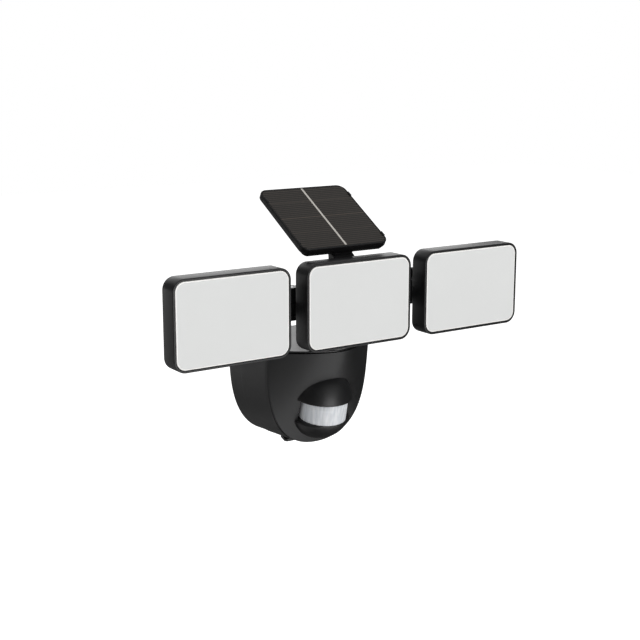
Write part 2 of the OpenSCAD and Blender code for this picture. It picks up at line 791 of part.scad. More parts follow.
module slab(w, l0, l1, r, z0, z1) {
    translate([0, (l0 + l1) / 2, z0]) linear_extrude(z1 - z0) rounded(w, l1 - l0, r);
}

module at_catches() {
    for (s = [-1, 1], y = catches) translate([s * (panel_w / 2 - 1.2) - catch_w / 2, y - 3, 0]) children();
}

// Tray of the panel: its lower part tapers in, and the front stays steep
module panel_tray() {
    color(plastic)
    at_panel() difference() {
        union() {
            hull() {
                slab(panel_w, 0, panel_l, tray_r, -tray_wall, 0);
                slab(panel_w - 8, 1.5, panel_l - 4, tray_r - 3, -panel_t, 0);
            }
            // Catches that hold the plate down
            at_catches() translate([0, 0, -0.6]) cube([catch_w, 6, 1.4]);
        }
        difference() {
            slab(panel_w - 2 * tray_rim, tray_rim, panel_l - tray_rim, tray_r - tray_rim, -plate_t - 0.1, 1);
            at_catches() translate([0, 0, 0.1]) cube([catch_w, 6, 1.4]);
        }
        slab(panel_w - 10, 5, panel_l - 5, 5, -panel_t + 2, 1);
        for (y = panel_screws_y) translate([0, y, -panel_t - 1]) cylinder(h = 12, r = 1.3, $fn = 48);
    }
}

module solar_plate() {
    edge = tray_rim + 0.15;
    color("#2c2c2e")
    at_panel() slab(panel_w - 2 * edge, edge, panel_l - edge, tray_r - tray_rim, -plate_t, 0);
}

module panel_ribbon() {
    color("#b8b2a6")
    at_panel() translate([-1.5, 1.9, 0]) cube([2, panel_l - 3.8, 0.1]);
}

// Bracket under the panel: two lugs on a long pad, closed between them above the mast's tongue
module panel_bracket() {
    color(plastic)
    difference() {
        union() {
            at_panel() slab(bracket_w, 1.5, pad_l, 4, -panel_t - pad_t, -panel_t);
            for (s = [-1, 1])
                bar_x(s * bracket_in, s * bracket_w / 2, panel_hinge_r, panel_pin_y, panel_pin_z);
            along_x(-bracket_w / 2, bracket_w / 2) translate([panel_pin_y, panel_pin_z])
                polygon([[-4.8, 0], [4.4, -2], [5.5, 8.9], [-0.6, 7], [-4.2, 4.4]]);
            for (s = [-1, 1]) at_panel() translate([s * 8.6 - 1.2, 2, -panel_t - 6]) cube([2.4, 34, 5]);
        }
        bar_x(-bracket_in, bracket_in, panel_hinge_r + 0.6, panel_pin_y, panel_pin_z);
        along_x(-bracket_in, bracket_in) translate([panel_pin_y - 10, panel_pin_z - 10]) square([20, 10]);
        bar_x(-20, 20, pin_r + run_gap, panel_pin_y, panel_pin_z);
        for (s = [-1, 1]) bar_x(s * (bracket_w / 2 - 2.6), s * 20, nut_r + 0.2, panel_pin_y, panel_pin_z);
        at_panel() for (y = panel_screws_y)
            translate([0, y, -panel_t - 5]) cylinder(h = 12, r = 1.7, $fn = 48);
    }
}

module panel_screws() {
    color(steel)
    at_panel() for (y = panel_screws_y) translate([0, y, -panel_t - pad_t])
    rotate([180, 0, 0]) screw(2.6, 1.6, 1.25, 4.2);
}

wall_base();
body_shell();
front_cover();
cover_seal();
sensor_lens();
pir_sensor();
control_board();
battery_cells();
battery_holder();
cover_screws();
locking_screw();
mode_button();
mast();
mast_seal();
mast_screws();
centre_tilt_pin();
left_swing_pin();
right_swing_pin();
panel_pin();
left_knuckle();
right_knuckle();
left_tilt_pin();
right_tilt_pin();
left_case();
centre_case();
right_case();
left_leds();
centre_leds();
right_leds();
left_diffuser();
centre_diffuser();
right_diffuser();
left_screws();
centre_screws();
right_screws();
panel_tray();
solar_plate();
panel_ribbon();
panel_bracket();
panel_screws();
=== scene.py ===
import json
import math
import bmesh
import bpy
import numpy as np
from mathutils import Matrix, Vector
from mathutils.geometry import tessellate_polygon

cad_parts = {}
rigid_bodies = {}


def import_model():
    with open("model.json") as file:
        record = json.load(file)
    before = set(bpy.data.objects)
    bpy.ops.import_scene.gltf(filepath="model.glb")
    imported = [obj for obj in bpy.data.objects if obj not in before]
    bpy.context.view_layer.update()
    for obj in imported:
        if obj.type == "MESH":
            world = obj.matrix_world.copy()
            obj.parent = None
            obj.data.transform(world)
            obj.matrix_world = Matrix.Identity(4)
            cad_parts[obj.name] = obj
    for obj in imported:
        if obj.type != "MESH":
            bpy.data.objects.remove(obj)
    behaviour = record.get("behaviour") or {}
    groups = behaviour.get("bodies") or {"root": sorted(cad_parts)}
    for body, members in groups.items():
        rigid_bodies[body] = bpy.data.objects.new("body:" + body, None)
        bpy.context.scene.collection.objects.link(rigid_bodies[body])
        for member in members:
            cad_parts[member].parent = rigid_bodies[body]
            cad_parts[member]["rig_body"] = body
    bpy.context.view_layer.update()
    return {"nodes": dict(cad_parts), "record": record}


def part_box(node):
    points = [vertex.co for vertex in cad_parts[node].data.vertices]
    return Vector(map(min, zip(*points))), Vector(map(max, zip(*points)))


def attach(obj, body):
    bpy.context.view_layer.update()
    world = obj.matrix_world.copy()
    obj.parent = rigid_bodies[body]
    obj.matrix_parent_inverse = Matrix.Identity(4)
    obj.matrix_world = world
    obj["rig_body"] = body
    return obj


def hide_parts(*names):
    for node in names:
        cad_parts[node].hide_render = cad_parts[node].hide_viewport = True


# A solar security light with a motion sensor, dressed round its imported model.
# Lengths are in millimetres until a mesh is made: x runs right, y towards the wall, z up.
print("Loading the frame")
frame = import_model()
cadNodes = frame["nodes"]
slotOf = {part["node"]: part["material_slot"] for part in frame["record"]["subparts"]}
mm = 0.001


def cadSize(node):
    # Lowest and highest corner of a CAD node, in millimetres
    low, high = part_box(node)
    return np.array(low) / mm, np.array(high) / mm


def toLinear(hexColour):
    # sRGB hex to linear: c / 12.92 below 0.04045, else ((c + 0.055) / 1.055) ^ 2.4
    channels = [int(hexColour[i:i + 2], 16) / 255 for i in (1, 3, 5)]
    return tuple(c / 12.92 if c <= 0.04045 else ((c + 0.055) / 1.055) ** 2.4 for c in channels) + (1.0,)


def addNode(tree, kind, inputs=None, links=None, **settings):
    node = tree.nodes.new(kind)
    for name, value in settings.items():
        setattr(node, name, value)
    for name, value in (inputs or {}).items():
        node.inputs[name].default_value = value
    for name, socket in (links or {}).items():
        tree.links.new(socket, node.inputs[name])
    return node


print("Camera")
cameraView = {"place": (-620.3, -997.9, 310.85), "turn": (77.827, -0.029, -33.977), "lens": 69.49}
cameraData = bpy.data.cameras.new("photoCamera")
cameraData.lens = cameraView["lens"]
cameraData.sensor_width = 36
cameraData.clip_start = 0.01
cameraData.clip_end = 50
camera = bpy.data.objects.new("photoCamera", cameraData)
camera.location = [c * mm for c in cameraView["place"]]
camera.rotation_euler = [math.radians(a) for a in cameraView["turn"]]
bpy.context.scene.collection.objects.link(camera)
bpy.context.scene.camera = camera
bpy.context.scene.view_settings.view_transform = "Standard"

print("Lamps, world and floor")
# Softboxes: place and side in metres, power in watts. They light, and what is mirrored is set below.
softboxes = {
    "keySoftbox": {"place": (0.7, -1.9, 0.7), "side": 1.4, "power": 21},
    "topSoftbox": {"place": (-0.3, -0.3, 1.9), "side": 1.6, "power": 16},
}
aimPoint = Vector((0, -0.1, 0.05))
for name, box in softboxes.items():
    data = bpy.data.lights.new(name, "AREA")
    data.energy = box["power"]
    data.size = box["side"]
    holder = bpy.data.objects.new(name, data)
    holder.location = box["place"]
    holder.rotation_euler = (aimPoint - holder.location).to_track_quat("-Z", "Y").to_euler()
    holder.visible_glossy = False
    bpy.context.scene.collection.objects.link(holder)

# The room is a plain grey that lights softly, and shows as white to the camera and in reflections
studio = {"roomGrey": 0.56, "floorZ": -330.0, "floorSide": 9.0, "floorHex": "#b4b4b4",
          "paperHex": "#f8f8f8", "paperGlow": 0.6}


def seenDirectly(tree):
    # 1 for rays that look at the background, straight or in a mirror or glass, and 0 for rays that light
    rays = addNode(tree, "ShaderNodeLightPath").outputs
    straight = addNode(tree, "ShaderNodeMath", operation="MAXIMUM",
                       links={0: rays["Is Camera Ray"], 1: rays["Is Transmission Ray"]})
    mirrored = addNode(tree, "ShaderNodeMath", operation="MAXIMUM",
                       links={0: straight.outputs[0], 1: rays["Is Glossy Ray"]})
    return mirrored.outputs[0]


world = bpy.data.worlds.new("studioWorld")
bpy.context.scene.world = world
world.use_nodes = True
tree = world.node_tree
tree.nodes.clear()
plain = addNode(tree, "ShaderNodeBackground", {"Color": (1, 1, 1, 1), "Strength": studio["roomGrey"]})
white = addNode(tree, "ShaderNodeBackground", {"Color": (1, 1, 1, 1), "Strength": 1.0})
mixed = addNode(tree, "ShaderNodeMixShader",
                links={0: seenDirectly(tree), 1: plain.outputs[0], 2: white.outputs[0]})
addNode(tree, "ShaderNodeOutputWorld", links={"Surface": mixed.outputs[0]})

half = studio["floorSide"] / 2
floorMesh = bpy.data.meshes.new("studioFloor")
floorMesh.from_pydata([(x, y, studio["floorZ"] * mm) for x, y in
                       ((-half, -half), (half, -half), (half, half), (-half, half))], [], [(0, 1, 2, 3)])
floor = bpy.data.objects.new("studioFloor", floorMesh)
bpy.context.scene.collection.objects.link(floor)


def startMaterial(name):
    material = bpy.data.materials.new(name)
    material.use_nodes = True
    material.node_tree.nodes.clear()
    return material, material.node_tree


# White paper: it is seen washed out by light, while it bounces a plain grey on the object
paper, tree = startMaterial("whitePaperSweep")
bounce = addNode(tree, "ShaderNodeBsdfDiffuse", {"Color": toLinear(studio["floorHex"])})
matt = addNode(tree, "ShaderNodeBsdfDiffuse", {"Color": toLinear(studio["paperHex"])})
glow = addNode(tree, "ShaderNodeEmission", {"Color": (1, 1, 1, 1), "Strength": studio["paperGlow"]})
lit = addNode(tree, "ShaderNodeAddShader", links={0: matt.outputs[0], 1: glow.outputs[0]})
both = addNode(tree, "ShaderNodeMixShader",
               links={0: seenDirectly(tree), 1: bounce.outputs[0], 2: lit.outputs[0]})
addNode(tree, "ShaderNodeOutputMaterial", links={"Surface": both.outputs[0]})
floorMesh.materials.append(paper)

# Cards that only reflections see, as they are set round black plastic: two corners along X-Y, the lowest
# and highest z in metres, and how bright each one is. A card lies flat where its two heights are the same.
cards = {
    "brightCard": {"corners": ((-0.4, -1.02), (0.3, -0.9)), "heights": (-0.32, 0.14), "glow": 4.1},
    "rightCard": {"corners": ((0.5, -1.35), (0.5, 0.3)), "heights": (-0.32, 0.25), "glow": 0.06},
    "topCard": {"corners": ((-0.4, -0.9), (1.3, 0.4)), "heights": (0.5, 0.5), "glow": 0.4},
    "leftCard": {"corners": ((-2.2, -1.8), (-0.1, 0.5)), "heights": (-0.32, -0.32), "glow": 0.5},
    "backLeftCard": {"corners": ((-2.2, 0.5), (-0.35, 2.4)), "heights": (-0.32, -0.32), "glow": 0.25},
    "backLeftScreen": {"corners": ((-2.6, -0.6), (-0.35, 2.4)), "heights": (0.0, 1.4), "glow": 0.08},
    "rightFloorCard": {"corners": ((-0.1, -0.2), (1.6, 0.3)), "heights": (-0.32, -0.32), "glow": 0.08},
    "backRightCard": {"corners": ((-0.35, 0.3), (0.55, 0.95)), "heights": (-0.319, -0.319), "glow": 0.15},
    "cameraCard": {"corners": ((-1.25, 0.2), (-0.15, -1.05)), "heights": (-0.2, 0.8), "glow": 0.06},
    "backCard": {"corners": ((0.2, 1.8), (1.7, 1.1)), "heights": (0.0, 1.0), "glow": 1.9},
}
for name, card in cards.items():
    (x0, y0), (x1, y1) = card["corners"]
    low, high = card["heights"]
    corners = [(x0, y0, low), (x1, y1, low), (x1, y1, high), (x0, y0, high)]
    if low == high:
        corners = [(x0, y0, low), (x1, y0, low), (x1, y1, low), (x0, y1, low)]
    mesh = bpy.data.meshes.new(name)
    mesh.from_pydata(corners, [], [(0, 1, 2, 3)])
    surface, tree = startMaterial(name)
    glow = addNode(tree, "ShaderNodeEmission", {"Color": (1, 1, 1, 1), "Strength": card["glow"]})
    addNode(tree, "ShaderNodeOutputMaterial", links={"Surface": glow.outputs[0]})
    mesh.materials.append(surface)
    holder = bpy.data.objects.new(name, mesh)
    for ray in ("camera", "diffuse", "transmission", "volume_scatter", "shadow"):
        setattr(holder, "visible_" + ray, False)
    bpy.context.scene.collection.objects.link(holder)

print("Materials")


def mouldedPlastic(name, spec):
    # Injection-moulded plastic: spark-eroded grain gives a satin sheen that breaks up softly,
    # and a slow drift of tone and gloss keeps large faces from looking flat.
    # Grain and drift are widths in millimetres.
    swing, grainDepth = 0.04, 0.04
    material, tree = startMaterial(name)
    place = addNode(tree, "ShaderNodeTexCoord").outputs["Object"]
    grain = addNode(tree, "ShaderNodeTexNoise", {"Scale": 1 / (spec["grain"] * mm), "Detail": 3.0},
                    {"Vector": place})
    drift = addNode(tree, "ShaderNodeTexNoise", {"Scale": 1 / (spec["drift"] * mm), "Detail": 2.0},
                    {"Vector": place})
    rough = addNode(tree, "ShaderNodeMapRange",
                    {"To Min": spec["rough"] - swing, "To Max": spec["rough"] + swing},
                    {"Value": drift.outputs["Fac"]})
    tone = addNode(tree, "ShaderNodeMix", data_type="RGBA", links={"Factor": drift.outputs["Fac"]})
    tone.inputs[6].default_value, tone.inputs[7].default_value = (toLinear(h) for h in spec["hexes"])
    bump = addNode(tree, "ShaderNodeBump", {"Strength": spec["bump"], "Distance": grainDepth * mm},
                   {"Height": grain.outputs["Fac"]})
    shader = addNode(tree, "ShaderNodeBsdfPrincipled",
                     {"IOR": spec["ior"], "Metallic": spec.get("metal", 0.0)},
                     {"Base Color": tone.outputs[2], "Roughness": rough.outputs[0],
                      "Normal": bump.outputs[0]})
    addNode(tree, "ShaderNodeOutputMaterial", links={"Surface": shader.outputs[0]})
    return material


plastics = {
    # ABS from a spark-eroded mould: a satin black, for the housing and the lamp cases
    "mouldedAbsBlack": {"hexes": ("#131314", "#171718"), "rough": 0.4, "ior": 1.45,
                        "grain": 0.4, "drift": 25, "bump": 0.25},
    # The same from a finer mould: a deeper and smoother black, for the panel's tray
    "mouldedTrayBlack": {"hexes": ("#0b0b0c", "#0f0f10"), "rough": 0.4, "ior": 1.4,
                         "grain": 0.5, "drift": 25, "bump": 0.15},
    # Opal acrylic of the diffusers, which spreads light evenly, and a paler copy of it for the polished edge:
    # a painted highlight for the light that the edge gathers
    "opalAcrylic": {"hexes": ("#dbdcdb", "#dedfde"), "rough": 0.5, "ior": 1.4,
                    "grain": 0.7, "drift": 60, "bump": 0.05},
    "opalAcrylicEdge": {"hexes": ("#f6f5f2", "#faf9f6"), "rough": 0.3, "ior": 1.45,
                        "grain": 0.7, "drift": 60, "bump": 0.0},
    # Pressed polyethylene: milky and faintly blue, for the window's plain flanks
    "milkyPolyethylene": {"hexes": ("#e8ebee", "#eceef1"), "rough": 0.34, "ior": 1.5,
                          "grain": 0.9, "drift": 6, "bump": 0.2},
    # Moulded rubber of the seals and the button: matt, almost without sheen
    "blackRubber": {"hexes": ("#090909", "#0d0d0d"), "rough": 0.7, "ior": 1.4,
                    "grain": 0.3, "drift": 8, "bump": 0.3},
    # Barrel-plated steel of screws and cans: a grey metal with soft highlights
    "zincPlatedSteel": {"hexes": ("#b0b0b4", "#c2c2c4"), "rough": 0.32, "ior": 1.5, "metal": 1.0,
                        "grain": 0.3, "drift": 3, "bump": 0.1},
    # Lacquer printed on the boards: glossy in green, and duller in white
    "greenSolderMask": {"hexes": ("#15522c", "#1a5c33"), "rough": 0.3, "ior": 1.5,
                        "grain": 0.8, "drift": 12, "bump": 0.1},
    "whiteSolderMask": {"hexes": ("#e6e6e0", "#ebebe6"), "rough": 0.4, "ior": 1.5,
                        "grain": 0.8, "drift": 12, "bump": 0.1},
    # Film shrunk round the cells: tight and shiny
    "blueShrinkWrap": {"hexes": ("#36699f", "#3d72aa"), "rough": 0.25, "ior": 1.5,
                       "grain": 1.5, "drift": 14, "bump": 0.1},
    # Dip-tinned copper ribbon under resin: dull silver with faint smears
    "tinnedRibbon": {"hexes": ("#9c9892", "#b3b0aa"), "rough": 0.4, "ior": 1.5,
                     "grain": 0.5, "drift": 3, "bump": 0.2},
}
finishes = {name: mouldedPlastic(name, spec) for name, spec in plastics.items()}
slotFinish = {
    "black_plastic": "mouldedAbsBlack", "lamp_plastic": "mouldedAbsBlack", "tray_plastic": "mouldedTrayBlack",
    "button_rubber": "blackRubber", "seal_rubber": "blackRubber", "opal_diffuser": "opalAcrylic",
    "sensor_window": "milkyPolyethylene", "led_board": "whiteSolderMask", "circuit_board": "greenSolderMask",
    "sensor_can": "zincPlatedSteel", "cell_wrap": "blueShrinkWrap", "holder_plastic": "blackRubber",
    "screw_steel": "zincPlatedSteel", "solar_cells": "mouldedTrayBlack", "cell_ribbon": "tinnedRibbon",
}

print("Shared shapes")


def arc(insetAt, depthAt, radius, start, stop, steps=6):
    # Rounded stretch of a profile: inset = i + r cos a, depth = d + r sin a, angles in degrees
    angle = np.radians(np.linspace(start, stop, steps))
    return np.stack([insetAt + radius * np.cos(angle), depthAt + radius * np.sin(angle)], axis=1).tolist()


def roundedLoops(width, height, radius, profile, lowShare=1.0, steps=14):
    # Rounded rectangles in the X-Z plane, one for each (inset, depth) of a profile, with depth along Y.
    # A corner is a quarter circle: x = cx + r cos a, z = cz + r sin a.
    # The lower side moves in by lowShare of the inset.
    leastCorner = 0.25
    inset, depth = np.asarray(profile, float).T[:, :, None]
    angle = (np.linspace(0, np.pi / 2, steps)[None] + np.arange(4)[:, None] * np.pi / 2).ravel()
    signX, signZ = np.repeat([[1, -1, -1, 1], [1, 1, -1, -1]], steps, axis=1)
    corner = np.maximum(radius - inset, leastCorner)
    x = signX * (width / 2 - inset - corner) + corner * np.cos(angle)
    z = signZ * (height / 2 - inset - corner) + corner * np.sin(angle) - (signZ < 0) * inset * (1 - lowShare)
    return np.stack([x, depth + 0 * x, z], axis=-1)


def stackLoops(loops, firstEnd=True, lastEnd=True):
    # Shell from loops of equally many points: quads between neighbours, and a face over each end
    loops = np.asarray(loops, float)
    count, around = loops.shape[:2]
    row, column = np.meshgrid(np.arange(count - 1), np.arange(around), indexing="ij")
    here, beside = row * around + column, row * around + (column + 1) % around
    faces = np.stack([here, beside, beside + around, here + around], axis=-1).reshape(-1, 4).tolist()
    if firstEnd:
        faces.append(np.arange(around)[::-1].tolist())
    if lastEnd:
        faces.append(np.arange((count - 1) * around, count * around).tolist())
    return loops.reshape(-1, 3), faces


def boredFace(loop, centres, radius, depth, steps=32):
    # Flat face across Y with blind round holes: ring = centre + r (cos a, sin a), then a wall and a floor
    angle = np.linspace(0, 2 * np.pi, steps, endpoint=False)
    level = np.full(steps, loop[0, 1])
    circles = [np.stack([cx + radius * np.cos(angle), level, cz + radius * np.sin(angle)], axis=1)
               for cx, cz in centres]
    triangles = tessellate_polygon([[Vector(point) for point in part] for part in [loop] + circles])
    shells = [(np.concatenate([loop] + circles), [list(t) for t in triangles])]
    return shells + [stackLoops([circle, circle - (0, depth, 0)], firstEnd=False) for circle in circles]


def extrudeX(outline, x0, x1, rounding=0.4):
    # Closed outline in the Y-Z plane carried along X. Its ends shrink towards the middle
    # over a quarter circle: inset = r (1 - sin a), at r (1 - cos a) from the end.
    outline = np.asarray(outline, float)
    middle = outline.mean(axis=0)
    reach = np.abs(outline - middle).max()
    angle = np.linspace(0, np.pi / 2, 4)
    inset, along = rounding * (1 - np.sin(angle)), rounding * (1 - np.cos(angle))
    places = np.concatenate([x0 + along, x1 - along[::-1]])
    loops = [np.column_stack([np.full(len(outline), x), middle + (outline - middle) * (1 - shrink / reach)])
             for x, shrink in zip(places, np.concatenate([inset, inset[::-1]]))]
    return stackLoops(loops)


def tilted(x, y, z, degrees, place):
    # Turns points about X and moves them to their place: y' = y cos t - z sin t, z' = y sin t + z cos t
    turn = math.radians(degrees)
    turned = np.stack([x, y * math.cos(turn) - z * math.sin(turn), y * math.sin(turn) + z * math.cos(turn)],
                      axis=-1)
    return turned + place


def makePiece(name, shells, materialNames, nodes, sharp=32, tones=None):
    # Joins closed shells into one smooth piece that stands for CAD nodes and rides on their body.
    # Points closer than the weld distance become one, and edges bent more than the sharp angle stay crisp.
    weld = 0.0001
    mesh = bpy.data.meshes.new(name)
    starts = np.cumsum([0] + [len(points) for points, _ in shells])
    faces = [[i + start for i in face] for (_, own), start in zip(shells, starts) for face in own]
    mesh.from_pydata(np.concatenate([points for points, _ in shells]) * mm, [], faces)
    if tones is not None:
        mesh.polygons.foreach_set("material_index", tones)
    work = bmesh.new()
    work.from_mesh(mesh)
    bmesh.ops.remove_doubles(work, verts=work.verts, dist=weld * mm)
    bmesh.ops.recalc_face_normals(work, faces=work.faces)
    work.to_mesh(mesh)
    work.free()
    mesh.shade_smooth()
    mesh.set_sharp_from_angle(angle=math.radians(sharp))
    for materialName in materialNames:
        mesh.materials.append(finishes[materialName])
    piece = bpy.data.objects.new(name, mesh)
    bpy.context.scene.collection.objects.link(piece)
    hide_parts(*nodes)
    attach(piece, cadNodes[nodes[0]]["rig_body"])
    return piece


print("Lamp heads")
caseLow, caseHigh = cadSize("centre_case")
glassLow = cadSize("centre_diffuser")[0]
head = {
    "width": caseHigh[0] - caseLow[0], "height": caseHigh[2] - caseLow[2], "front": caseLow[1],
    "middleZ": (caseHigh[2] + caseLow[2]) / 2, "rim": glassLow[0] - caseLow[0], "depth": 19.3,
    "corner": 10.8, "lip": 0.3, "groove": 0.5, "frontRound": 0.8, "backRound": 1.8, "flatFrom": 0.5,
    "seat": 3.2, "screwIn": 9.0, "boreRadius": 2.9, "boreDepth": 1.4,
    "padSide": 30.0, "padCorner": 4.0, "padRise": 1.2, "padRound": 0.5, "padSunk": 1.0,
    "ribAt": 24.0, "ribHeight": 2.0, "ribCorner": 0.9,
    "lugRadius": 6.5, "lugFoot": 11.0, "lugSunk": 0.8, "lugSweep": 72,
}


def lampCase(name, node, middleX, padX, lugs, pinBehind):
    # Black case: the profile runs from the seat over the inner lip, the front rim and the side to the back.
    # A dark groove stays open between the lip and the diffuser. A further loop just inside the last rounding,
    # at flatFrom, keeps the flat back evenly shaded.
    inside, front, back = head["rim"] - head["groove"], head["frontRound"], head["backRound"]
    profile = [(inside, head["seat"])]
    profile += arc(inside - head["lip"], head["lip"], head["lip"], 0, -90, 4)
    profile += arc(front, front, front, -90, -180)
    profile += arc(back, head["depth"] - back, back, 180, 90)
    profile.append((back + head["flatFrom"], head["depth"]))
    loops = roundedLoops(head["width"], head["height"], head["corner"], profile)
    loops += (middleX, head["front"], head["middleZ"])
    screwX, screwZ = head["width"] / 2 - head["screwIn"], head["height"] / 2 - head["screwIn"]
    screws = [(middleX + sx * screwX, head["middleZ"] + sz * screwZ) for sx in (-1, 1) for sz in (-1, 1)]
    shells = [stackLoops(loops, lastEnd=False)]
    shells += boredFace(loops[-1], screws, head["boreRadius"], head["boreDepth"])
    # A raised pad carries the lugs, with a rib above and below it
    backY, padRound = head["front"] + head["depth"], head["padRound"]
    padProfile = [(0, -head["padSunk"])] + arc(padRound, head["padRise"] - padRound, padRound, 180, 90, 4)
    pad = roundedLoops(head["padSide"], head["padSide"], head["padCorner"], padProfile)
    shells.append(stackLoops(pad + (padX, backY, head["middleZ"])))
    for side in (-1, 1):
        rib = roundedLoops(head["padSide"], head["ribHeight"], head["ribCorner"], padProfile, steps=5)
        shells.append(stackLoops(rib + (padX, backY, head["middleZ"] + side * head["ribAt"])))
    # A lug is a foot on the case and a round end about the hinge pin: y = pin + r cos a, z = middle + r sin a
    angle = np.radians(np.linspace(-head["lugSweep"], head["lugSweep"], 24))
    endY = backY + pinBehind + head["lugRadius"] * np.cos(angle)
    endZ = head["middleZ"] + head["lugRadius"] * np.sin(angle)
    footY = backY - head["lugSunk"]
    outline = [(footY, head["middleZ"] - head["lugFoot"])]
    outline += np.stack([endY, endZ], axis=1).tolist()
    outline.append((footY, head["middleZ"] + head["lugFoot"]))
    shells += [extrudeX(outline, x0, x1) for x0, x1 in lugs]
    return makePiece(name, shells, ["mouldedAbsBlack"], [node])


def diffuser(name, node):
    # Opal window, flush with the rim. Its polished side, its rounding and a narrow strip of its front get a
    # paler copy of its finish, a painted highlight for the light the edge gathers.
    low, high = cadSize(node)
    edge = {"round": 0.45, "strip": 0.5, "depth": 2.4, "behind": 0.02, "flatFrom": 0.3}
    stripEnd = edge["round"] + edge["strip"]
    profile = [(0.0, edge["depth"])]
    profile += arc(edge["round"], edge["round"] + edge["behind"], edge["round"], 180, 270, 5)
    profile += [(stripEnd, edge["behind"]), (stripEnd + edge["flatFrom"], edge["behind"])]
    loops = roundedLoops(high[0] - low[0], high[2] - low[2], head["corner"] - head["rim"], profile)
    points, faces = stackLoops(loops + ((low[0] + high[0]) / 2, low[1], (low[2] + high[2]) / 2))
    around = loops.shape[1]
    tones = np.zeros(len(faces), dtype=np.int32)
    # Painted highlight: the side, the rounding and the edge strip take the paler opal copy
    tones[:around * (len(profile) - 2)] = 1
    return makePiece(name, [(points, faces)], ["opalAcrylic", "opalAcrylicEdge"], [node], tones=tones)


# The side heads hang on two lugs that clasp a barrel, and the middle head on one broad lug
hinge = {"barrelIn": 78.6, "barrelOut": 97.4, "play": 0.4, "lugWidth": 5.7, "padX": 88.0, "pinBehind": 13.2,
         "centreLug": 5.2, "centrePinBehind": 12.2}
innerEnd, outerEnd = hinge["barrelIn"] - hinge["play"], hinge["barrelOut"] + hinge["play"]
lugSpans = ((innerEnd - hinge["lugWidth"], innerEnd), (outerEnd, outerEnd + hinge["lugWidth"]))
for sideName, side in (("left", -1), ("right", 1)):
    low, high = cadSize(sideName + "_case")
    lugs = [tuple(sorted((side * a, side * b))) for a, b in lugSpans]
    lampCase(sideName + "LampCase", sideName + "_case", (low[0] + high[0]) / 2, side * hinge["padX"], lugs,
             hinge["pinBehind"])
lampCase("centreLampCase", "centre_case", 0.0, 0.0, [(-hinge["centreLug"], hinge["centreLug"])],
         hinge["centrePinBehind"])
for place in ("left", "centre", "right"):
    diffuser(place + "Diffuser", place + "_diffuser")

print("Housing")
roofTop = cadSize("body_shell")[1][2]
house = {
    "width": 110.9, "backWidth": 105.8, "roof": roofTop, "height": 96.3, "backHeight": 102.0,
    "edge": 78.1, "seam": 75.1, "bulge": 32.3, "bulgePower": 1.7, "fade": 0.86, "lean": 10.2,
    "sidePower": 2.18, "dropPower": 3.18, "roofThick": 1.6, "roofGap": 0.9, "bodyBack": 23.5,
    "wallSteps": 160, "topSteps": 48,
}


def frontY(x, z):
    # Front surface, with d as the drop below the roof:
    # y = -edge + lean d - bulge (1 - |x / half width| ^ p) (1 - fade d)
    drop = (house["roof"] - z) / house["height"]
    across = np.minimum(1, np.abs(x) / (house["width"] / 2))
    return (-house["edge"] + house["lean"] * drop
            - house["bulge"] * (1 - across ** house["bulgePower"]) * (1 - house["fade"] * drop))


def housingLoop(halfWidth, height, top):
    # U-shaped outline closed by a straight top: |x / half width| ^ p + (drop / height) ^ q = 1.
    # Half width and height are numbers, or arrays with a value for each point of the wall.
    start = np.arcsin(((house["roof"] - top) / height) ** (house["dropPower"] / 2))
    angle = start + (np.pi - 2 * start) * np.linspace(0, 1, house["wallSteps"])
    x = halfWidth * np.sign(np.cos(angle)) * np.abs(np.cos(angle)) ** (2 / house["sidePower"])
    z = house["roof"] - height * np.sin(angle) ** (2 / house["dropPower"])
    bridge = np.linspace(x[-1], x[0], house["topSteps"] + 2)[1:-1]
    return np.concatenate([x, bridge]), np.concatenate([z, 0 * bridge + top])


def coverLoops():
    # Front cover: a neck behind, a thin lip that overhangs it, a rounded edge, and the bulging front as
    # loops that shrink towards the sensor
    top = house["roof"] - house["roofThick"] - house["roofGap"]
    lip = {"neck": 5.0, "thick": 0.7, "round": 0.3, "backRound": 0.1}
    profile = [(lip["neck"], None), (lip["neck"], lip["thick"]), (lip["backRound"], lip["thick"]),
               (0.0, lip["thick"] - lip["backRound"])]
    profile += arc(lip["round"], lip["round"], lip["round"], 180, 270, 6)
    loops = []
    for inset, behind in profile:
        x, z = housingLoop(house["width"] / 2 - inset, house["height"] - inset, top - inset)
        plane = -house["seam"] + house["lean"] * (house["roof"] - z) / house["height"]
        y = plane if behind is None else frontY(x, z) + behind
        loops.append(np.stack([x, y, z], axis=1))
    # The loops turn from the U shape into the pocket's rounded box, seen from its middle at the same angles:
    # box radius = (|cos a / width| ^ p + |sin a / height| ^ p) ^ (-1 / p)
    pocket = {"z": -8.4, "width": 26.4, "height": 14.4, "power": 8, "depth": 8.0, "round": 0.4, "steps": 60,
              "rounding": ((0.997, 0.08), (0.991, 0.35), (0.987, 1.0)),
              "wall": ((0.985, -0.3), (0.97, 0.0), (0.3, 0.0))}
    x, z = loops[-1][:, 0], loops[-1][:, 2] - pocket["z"]
    angle = np.arctan2(z, x)
    wide, tall = np.abs(np.cos(angle)) / pocket["width"], np.abs(np.sin(angle)) / pocket["height"]
    box = (wide ** pocket["power"] + tall ** pocket["power"]) ** (-1 / pocket["power"])
    boxX, boxZ = box * np.cos(angle), box * np.sin(angle)
    share = np.linspace(0, 1, pocket["steps"])[1:, None]
    fronts = np.stack([x + (boxX - x) * share, 0 * x + share, z + (boxZ - z) * share + pocket["z"]], axis=-1)
    fronts[..., 1] = frontY(fronts[..., 0], fronts[..., 2])
    # Its rounded edge, its wall and its floor are the last loop again, scaled and set back: the edge by
    # shares of its rounding, and the wall and the floor by distances from the pocket's depth
    middle = np.array([0, 0, pocket["z"]])
    steps = [(scale, pocket["round"] * deep) for scale, deep in pocket["rounding"]]
    steps += [(scale, pocket["depth"] + deep) for scale, deep in pocket["wall"]]
    walls = [middle + (fronts[-1] - middle) * (scale, 1, scale) + (0, deep, 0) for scale, deep in steps]
    return np.concatenate([np.array(loops), fronts, walls])


